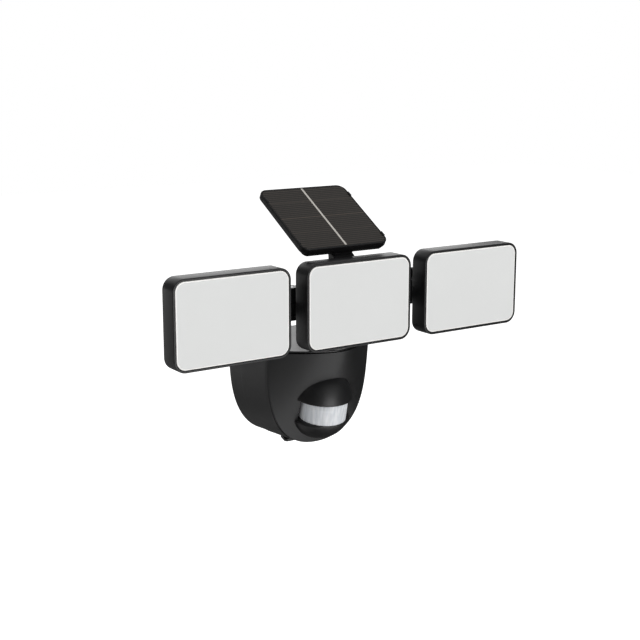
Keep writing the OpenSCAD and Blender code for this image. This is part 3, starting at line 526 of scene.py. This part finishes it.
sensor = {
    "place": (0, -78.85, -6.85), "tilt": 11.6, "radius": 31.6, "flatten": 0.932, "up": 34.65, "down": 34.3,
    "poleAngle": 0.02, "poleRadius": 2, "hoodEdge": 9.2, "hoodRim": 0.5, "underIn": 2, "underShift": -1.5,
    "windowY": -3.5, "windowRadius": 22.95, "lidEdge": -13.0, "ledgeRise": 1.8, "ledgeReach": 0.93,
    "ledgeGap": 0.2, "ledgeEdge": ((0.35, 0.25), (0.1, -0.05)),
}


def atSensor(points):
    # Turns points from the sensor's own frame, where z is its axis, into the housing's frame
    x, y, z = np.moveaxis(np.asarray(points, float), -1, 0)
    return tilted(x, y, z, sensor["tilt"], sensor["place"])


def rings(profile, steps=128):
    # Rings about the sensor's axis, one for each (radius, height, shift along Y, flattening along Y)
    radius, height, shift, flat = np.asarray(profile, float).T[:, :, None]
    angle = np.linspace(0, 2 * np.pi, steps, endpoint=False)
    return np.stack([radius * np.cos(angle), shift + flat * radius * np.sin(angle), height + 0 * angle],
                    axis=-1)


def hood():
    # Upper half egg down to the brow over the window: r = R sin a, z = up cos a. Its lower edge is rounded,
    # and below it is flat. Only a tiny ring stays open about the axis, at poleAngle, and it is closed flat.
    rim, flat, low = sensor["hoodRim"], sensor["flatten"], sensor["hoodEdge"]
    angle = np.linspace(sensor["poleAngle"], math.acos((low + rim) / sensor["up"]), 40)
    dome = [(sensor["radius"] * math.sin(a), sensor["up"] * math.cos(a), 0, flat) for a in angle]
    brow = [(dome[-1][0] - rim + rim * math.cos(a), low + rim - rim * math.sin(a), 0, flat)
            for a in np.radians(np.linspace(15, 90, 6))]
    under = [(radius, low, sensor["underShift"], 1)
             for radius in (sensor["windowRadius"] - sensor["underIn"], sensor["poleRadius"])]
    return stackLoops(atSensor(rings(dome + brow + under)))


def lowerLid():
    # Lower half egg under a ledge that slopes up to the window: r = R cos a, z = -down sin a
    low, flat, inside = sensor["lidEdge"], sensor["flatten"], sensor["windowRadius"]
    outside = sensor["radius"] * math.sqrt(1 - (low / sensor["down"]) ** 2)
    rise, shift, pole = sensor["ledgeRise"], sensor["windowY"], sensor["poleAngle"]
    # The ledge starts level and falls away along an ellipse: height = low + rise sqrt(1 - t^2).
    # Its rounded edge is (inset, height above the lid's rim).
    start, width = inside + sensor["ledgeGap"], outside - sensor["ledgeEdge"][0][0] - inside
    ledge = [(sensor["poleRadius"], low + rise, shift, 1)]
    ledge += [(start + width * t, low + rise * math.sqrt(1 - t * t), shift * (1 - t), 1 + (flat - 1) * t)
              for t in np.linspace(0, sensor["ledgeReach"], 9)]
    ledge += [(outside - inset, low + above, 0, flat) for inset, above in sensor["ledgeEdge"]]
    angle = np.linspace(math.asin(-low / sensor["down"]) + pole, np.pi / 2 - pole, 40)
    egg = [(sensor["radius"] * math.cos(a), -sensor["down"] * math.sin(a), 0, flat) for a in angle]
    return stackLoops(atSensor(rings(ledge + egg)))


coverShells = [stackLoops(coverLoops()), hood(), lowerLid()]
makePiece("frontCover", coverShells, ["mouldedAbsBlack"], ["front_cover"], sharp=40)


def lensPolyethylene(name):
    # Pressed lens sheet: milky and faintly blue, and uneven in thickness, so that light through it comes in
    # short upright streaks. The streaks are noise squeezed across and stretched upwards.
    streaks = {"width": 2.4, "height": 26.0, "dark": (0.34, "#d8dce1"), "pale": (0.62, "#ebedf0"),
               "rough": 0.3, "ior": 1.5}
    material, tree = startMaterial(name)
    place = addNode(tree, "ShaderNodeTexCoord").outputs["Object"]
    scale = [1 / (size * mm) for size in (streaks["width"], streaks["width"], streaks["height"])]
    squeezed = addNode(tree, "ShaderNodeVectorMath", {1: scale}, {0: place}, operation="MULTIPLY")
    noise = addNode(tree, "ShaderNodeTexNoise", {"Scale": 1.0, "Detail": 0.5, "Roughness": 0.5},
                    {"Vector": squeezed.outputs[0]})
    tone = addNode(tree, "ShaderNodeValToRGB", links={"Fac": noise.outputs["Fac"]})
    for stop, (at, colour) in zip(tone.color_ramp.elements, (streaks["dark"], streaks["pale"])):
        stop.position, stop.color = at, toLinear(colour)
    shader = addNode(tree, "ShaderNodeBsdfPrincipled", {"Roughness": streaks["rough"], "IOR": streaks["ior"]},
                     {"Base Color": tone.outputs["Color"]})
    addNode(tree, "ShaderNodeOutputMaterial", links={"Surface": shader.outputs[0]})
    return material


finishes["lensPolyethylene"] = lensPolyethylene("lensPolyethylene")


def sensorWindow():
    # Window of narrow lens facets: each bows out by a cosine, bow (cos a - 1), and a fine notch parts the two
    # rows: depth = notch exp(-((height - split) / half)^2). Loops lie closer together there and at the ends.
    # The facets end at a plain flank on each side, which is set back a little.
    window = {"facets": 26, "bow": 0.18, "low": -12.4, "high": 11.0, "split": 3.6, "notch": 0.12,
              "notchHalf": 0.2, "steps": 416, "flankFrom": 8.4, "flankIn": 0.35}
    low, split, high = window["low"], window["split"], window["high"]
    angle = np.linspace(0, 2 * np.pi, window["steps"], endpoint=False)
    phase = (angle * window["facets"] / (2 * np.pi)) % 1
    flank = np.sin(angle) > -math.sin(math.radians(window["flankFrom"]))
    bow = np.where(flank, -window["flankIn"], window["bow"] * (np.cos((phase - 0.5) * np.pi) - 1))
    heights = np.concatenate([[low, low + 0.3], np.linspace(low + 1, split - 0.5, 6),
                              [split - 0.15, split, split + 0.15], np.linspace(split + 0.5, high - 1, 4),
                              [high]])
    notch = window["notch"] * np.exp(-((heights - split) / window["notchHalf"]) ** 2)
    radius = sensor["windowRadius"] + bow[None] - notch[:, None]
    loops = np.stack([radius * np.cos(angle), sensor["windowY"] + radius * np.sin(angle),
                      heights[:, None] + 0 * radius], axis=-1)
    tones = np.concatenate([np.tile(flank, len(heights) - 1), [0, 0]]).astype(np.int32)
    return makePiece("sensorWindow", [stackLoops(atSensor(loops))], ["lensPolyethylene", "milkyPolyethylene"],
                     ["sensor_lens"], sharp=60, tones=tones)


sensorWindow()


def bodyLoops():
    # Body of the housing: it widens and gets shallower towards the front, where it ends in a slight chamfer
    # behind the cover's lip, across a dark gap that widens downwards: gap + widen drop^3.
    # Back edge and chamfer are (inset, distance), and a deep groove runs round inside the front edge.
    shoulder = {"backEdge": ((0.6, 0.0), (0.1, 0.0), (0.03, -0.05), (0.0, -0.12), (0.0, -0.5)),
                "chamfer": ((0, 4.5), (0.03, 4.1), (0.16, 0.4), (0.2, 0.22), (0.28, 0.07), (0.4, 0)),
                "groove": ((0.55, 0.05), (0.6, 0.5), (0.7, 4.4), (1.0, 4.6), (4.1, 4.6), (4.2, 4.4), (4.2, 0),
                           (4.8, 0)),
                "gap": 1.0, "widen": 5.2, "lip": 0.7, "underRoof": 0.8}
    top = house["roof"] - shoulder["underRoof"]
    wall = house["wallSteps"]
    wider, lower = house["width"] - house["backWidth"], house["height"] - house["backHeight"]

    def loopAt(share, inset, back):
        # A point's width depends on how far forward it lies, and that on its height: three rounds settle it
        y = np.full(wall + house["topSteps"], house["bodyBack"])
        for _ in range(3):
            part = np.minimum(1, y[:wall] / house["seam"])
            x, z = housingLoop((house["backWidth"] + wider * part) / 2 - inset,
                               house["backHeight"] + lower * part - inset, top)
            drop = np.clip((house["roof"] - z) / house["height"], 0, 1)
            edge = -frontY(np.where(np.arange(len(x)) < wall, x, house["width"] / 2), z)
            front = edge - shoulder["lip"] - shoulder["gap"] - shoulder["widen"] * drop ** 3
            y = house["bodyBack"] + (front - house["bodyBack"]) * share - back
        return np.stack([x, -y, z], axis=1)

    loops = [loopAt(0, inset, back) for inset, back in shoulder["backEdge"]]
    loops += [loopAt(share, 0.0, 0.0) for share in np.linspace(0.1, 0.9, 9)]
    loops += [loopAt(1.0, inset, back) for inset, back in shoulder["chamfer"] + shoulder["groove"]]
    return stackLoops(loops)


def roofPlate():
    # Roof: its sides follow the housing and its front edge follows the cover. For the soft rounding of its
    # edges the outline shrinks towards the middle: middle + (outline - middle) (1 - inset / reach).
    roof = {"fromWall": 0.6, "middle": (0, -45.0), "reach": 50, "round": 0.5, "lowRound": 0.3,
            "flatFrom": 0.6}
    side = np.linspace(roof["fromWall"], house["edge"], 24)
    part = np.minimum(1, side / house["seam"])
    halfWidth = (house["backWidth"] + (house["width"] - house["backWidth"]) * part) / 2
    x = np.linspace(house["width"] / 2, -house["width"] / 2, 90)[1:-1]
    rightSide = np.stack([halfWidth, -side], axis=1)
    frontEdge = np.stack([x, frontY(x, house["roof"])], axis=1)
    outline = np.concatenate([rightSide, frontEdge, rightSide[::-1] * (-1, 1)])
    low, high, rounding = house["roof"] - house["roofThick"], house["roof"], roof["round"]
    steps = [(rounding, low), (0.0, low + roof["lowRound"])]
    steps += [(rounding * (1 - math.cos(a)), high - rounding * (1 - math.sin(a)))
              for a in np.linspace(0, np.pi / 2, 5)]
    steps.append((rounding + roof["flatFrom"], high))
    middle = np.array(roof["middle"])
    loops = [np.column_stack([middle + (outline - middle) * (1 - inset / roof["reach"]),
                              np.full(len(outline), z)]) for inset, z in steps]
    return stackLoops(loops)


makePiece("bodyShell", [bodyLoops(), roofPlate()], ["mouldedAbsBlack"], ["body_shell"], sharp=34)

print("Solar panel")
panel = {
    "place": (0, -121.2, 145.85), "tilt": 30.8, "width": 92.8, "length": 87.6, "corner": 8.5,
    "rim": 1.5, "rimRound": 0.8, "lip": 0.25, "wall": 4.8, "thick": 9.0, "taper": 4.0, "lowShare": 0.375,
    "plate": 2.6, "plateGap": 0.2, "plateRound": 0.3, "catches": (11.7, 72.4),
    "ribbonX": -0.5, "ribbonWidth": 2.0, "ribbonIn": 0.6,
}


def atPanel(points):
    # Turns (x, depth, along) into the tilted panel's place: along runs up its slope from its middle
    x, depth, along = np.moveaxis(np.asarray(points, float), -1, 0)
    return tilted(x, along + panel["length"] / 2, -depth, panel["tilt"], panel["place"])


def panelTray():
    # Tray: seat, lip, rounded rim and steep side, then a lower part that tapers in to a flat underside
    lip, rim, taper, thick = panel["lip"], panel["rimRound"], panel["taper"], panel["thick"]
    upper = [(panel["rim"], panel["plate"])]
    upper += arc(panel["rim"] - lip, lip, lip, 0, -90, 4) + arc(rim, rim, rim, -90, -180)
    upper.append((0.0, panel["wall"]))
    lower = [(0.6, panel["wall"] + 0.9), (taper - 0.7, thick - 1.2), (taper, thick - 0.5),
             (taper + 0.9, thick), (taper + 1.5, thick)]
    loops = [roundedLoops(panel["width"], panel["length"], panel["corner"], upper),
             roundedLoops(panel["width"], panel["length"], panel["corner"], lower, panel["lowShare"])]
    shells = [stackLoops(atPanel(np.concatenate(loops)))]
    # Catches that hold the plate down
    catch = {"width": 2.2, "length": 6.0, "corner": 0.6, "in": 1.2, "low": 0.6, "top": -0.8, "round": 0.3}
    roundAt = catch["top"] + catch["round"]
    profile = [(0, catch["low"]), (0, roundAt)] + arc(catch["round"], roundAt, catch["round"], 180, 270, 3)
    block = roundedLoops(catch["width"], catch["length"], catch["corner"], profile, steps=4)
    for side in (-1, 1):
        for along in panel["catches"]:
            place = (side * (panel["width"] / 2 - catch["in"]), 0, along - panel["length"] / 2)
            shells.append(stackLoops(atPanel(block + place)))
    return shells


makePiece("panelTray", panelTray(), ["mouldedTrayBlack"], ["panel_tray"])


def siliconCells(name):
    # Printed silicon cells under clear resin: warm dark silicon, pale collector lines across the slope, and
    # the wider lines where cells meet. Both are worked out from the distance up the slope.
    # The collector lines are drawn coarser than real ones, which are too fine to show.
    cells = {"hexes": ("#171513", "#1d1b19"), "drift": 18, "finger": "#4a443f", "halfPitch": 1.3,
             "fingerCore": 0.08, "fingerEdge": 0.3, "meeting": "#4c443d", "meetingCore": 0.3,
             "meetingEdge": 0.42, "lines": ((23.5, 0.35), (44.0, 1.0), (66.5, 0.35)),
             "rough": 0.46, "ior": 1.4}
    material, tree = startMaterial(name)
    turn = math.radians(panel["tilt"])
    place = addNode(tree, "ShaderNodeTexCoord").outputs["Object"]
    shifted = addNode(tree, "ShaderNodeVectorMath", {1: [c * mm for c in panel["place"]]}, {0: place},
                      operation="SUBTRACT")
    along = addNode(tree, "ShaderNodeVectorMath", {1: (0, math.cos(turn) / mm, math.sin(turn) / mm)},
                    {0: shifted.outputs[0]}, operation="DOT_PRODUCT").outputs["Value"]
    # A wave runs from 0 up to half the pitch and back, and a collector line lies wherever it is near 0
    wave = addNode(tree, "ShaderNodeMath", {1: cells["halfPitch"]}, {0: along}, operation="PINGPONG")
    fingers = addNode(tree, "ShaderNodeMapRange",
                      {"From Min": cells["fingerCore"], "From Max": cells["fingerEdge"],
                       "To Min": 1.0, "To Max": 0.0},
                      {"Value": wave.outputs[0]}, interpolation_type="SMOOTHSTEP").outputs[0]
    meetings = None
    for line, strength in cells["lines"]:
        away = addNode(tree, "ShaderNodeMath", {1: line}, {0: along}, operation="SUBTRACT")
        away = addNode(tree, "ShaderNodeMath", links={0: away.outputs[0]}, operation="ABSOLUTE")
        near = addNode(tree, "ShaderNodeMapRange",
                       {"From Min": cells["meetingCore"], "From Max": cells["meetingEdge"],
                        "To Min": strength, "To Max": 0.0}, {"Value": away.outputs[0]}).outputs[0]
        if meetings is not None:
            near = addNode(tree, "ShaderNodeMath", operation="MAXIMUM",
                           links={0: meetings, 1: near}).outputs[0]
        meetings = near
    drift = addNode(tree, "ShaderNodeTexNoise", {"Scale": 1 / (cells["drift"] * mm), "Detail": 3.0},
                    {"Vector": place})
    tone = addNode(tree, "ShaderNodeMix", data_type="RGBA", links={"Factor": drift.outputs["Fac"]})
    tone.inputs[6].default_value, tone.inputs[7].default_value = (toLinear(h) for h in cells["hexes"])
    lined = addNode(tree, "ShaderNodeMix", data_type="RGBA", links={"Factor": fingers, 6: tone.outputs[2]})
    lined.inputs[7].default_value = toLinear(cells["finger"])
    parted = addNode(tree, "ShaderNodeMix", data_type="RGBA", links={"Factor": meetings, 6: lined.outputs[2]})
    parted.inputs[7].default_value = toLinear(cells["meeting"])
    shader = addNode(tree, "ShaderNodeBsdfPrincipled", {"Roughness": cells["rough"], "IOR": cells["ior"]},
                     {"Base Color": parted.outputs[2]})
    addNode(tree, "ShaderNodeOutputMaterial", links={"Surface": shader.outputs[0]})
    return material


finishes["siliconCells"] = siliconCells("siliconCells")
plateIn, plateRound = panel["rim"] + panel["plateGap"], panel["plateRound"]
plateTop = 0.05
plateProfile = [(plateIn, panel["plate"])]
plateProfile += arc(plateIn + plateRound, plateTop + plateRound, plateRound, 180, 270, 4)
plateProfile.append((plateIn + 2 * plateRound, plateTop))
plateLoops = roundedLoops(panel["width"], panel["length"], panel["corner"], plateProfile)
makePiece("solarPlate", [stackLoops(atPanel(plateLoops))], ["siliconCells"], ["solar_plate"])
ribbonLoops = roundedLoops(panel["ribbonWidth"], panel["length"] - 2 * plateIn - panel["ribbonIn"], 0.3,
                           [(0, 0.2), (0, 0.0), (0.1, -0.05)], steps=4) + (panel["ribbonX"], 0, 0)
makePiece("panelRibbon", [stackLoops(atPanel(ribbonLoops))], ["tinnedRibbon"], ["panel_ribbon"])

print("Smaller parts")
# Copies whose far ends are drawn in, to what the photograph shows: axis, where it starts, and by what factor.
# Across X it counts on both sides, and along Z it counts downwards.
# The seal is drawn in as well, so that the gap round the cover stays open.
squeezes = {
    "panel_bracket": [(0, 6.1, 0.69)], "panel_pin": [(0, 6.1, 0.69)],
    "wall_base": [(2, -52.0, 0.6)], "locking_screw": [(2, -52.0, 0.35)],
    "cover_seal": [(0, 0.0, 0.9), (2, 40.0, 0.93)],
}


def drawIn(mesh, axis, start, factor):
    # Beyond the start, a point's place along the axis becomes start + (place - start) factor
    places = np.zeros(len(mesh.vertices) * 3)
    mesh.vertices.foreach_get("co", places)
    places = places.reshape(-1, 3)
    along = places[:, axis] / mm
    far = np.abs(along) > start if axis == 0 else along < start
    edge = np.sign(along) * start if axis == 0 else start
    places[:, axis] = np.where(far, edge + (along - edge) * factor, along) * mm
    mesh.vertices.foreach_set("co", places.ravel())


trim = {"bevel": 0.3, "bevelSteps": 3, "bevelFrom": 30, "weld": 0.002, "flatWithin": 0.6}


def dressCopy(node):
    # Copy of a CAD node: its triangles are merged where they lie flat, its edges are rounded where they bend
    # by more than bevelFrom, and its flat faces are kept flat
    first, *others = node.split("_")
    name = first + "".join(word.capitalize() for word in others)
    piece = bpy.data.objects.new(name, cadNodes[node].data.copy())
    piece.data.name = name
    for squeeze in squeezes.get(node, []):
        drawIn(piece.data, *squeeze)
    bpy.context.scene.collection.objects.link(piece)
    mesh = bmesh.new()
    mesh.from_mesh(piece.data)
    bmesh.ops.remove_doubles(mesh, verts=mesh.verts, dist=trim["weld"] * mm)
    flatWithin = math.radians(trim["flatWithin"])
    bmesh.ops.dissolve_limit(mesh, angle_limit=flatWithin, verts=mesh.verts, edges=mesh.edges)
    mesh.to_mesh(piece.data)
    mesh.free()
    if piece.data.has_custom_normals:
        piece.data.attributes.remove(piece.data.attributes["custom_normal"])
    piece.data.shade_smooth()
    rounding = piece.modifiers.new("rounding", "BEVEL")
    rounding.width = trim["bevel"] * mm
    rounding.segments = trim["bevelSteps"]
    rounding.limit_method = "ANGLE"
    rounding.angle_limit = math.radians(trim["bevelFrom"])
    rounding.harden_normals = True
    piece.data.materials.clear()
    piece.data.materials.append(finishes[slotFinish[slotOf[node]]])
    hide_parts(node)
    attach(piece, cadNodes[node]["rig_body"])
    return piece


newShapes = {"left_case", "centre_case", "right_case", "left_diffuser", "centre_diffuser", "right_diffuser",
             "front_cover", "sensor_lens", "body_shell", "panel_tray", "solar_plate", "panel_ribbon"}
for node in cadNodes:
    if node not in newShapes:
        dressCopy(node)
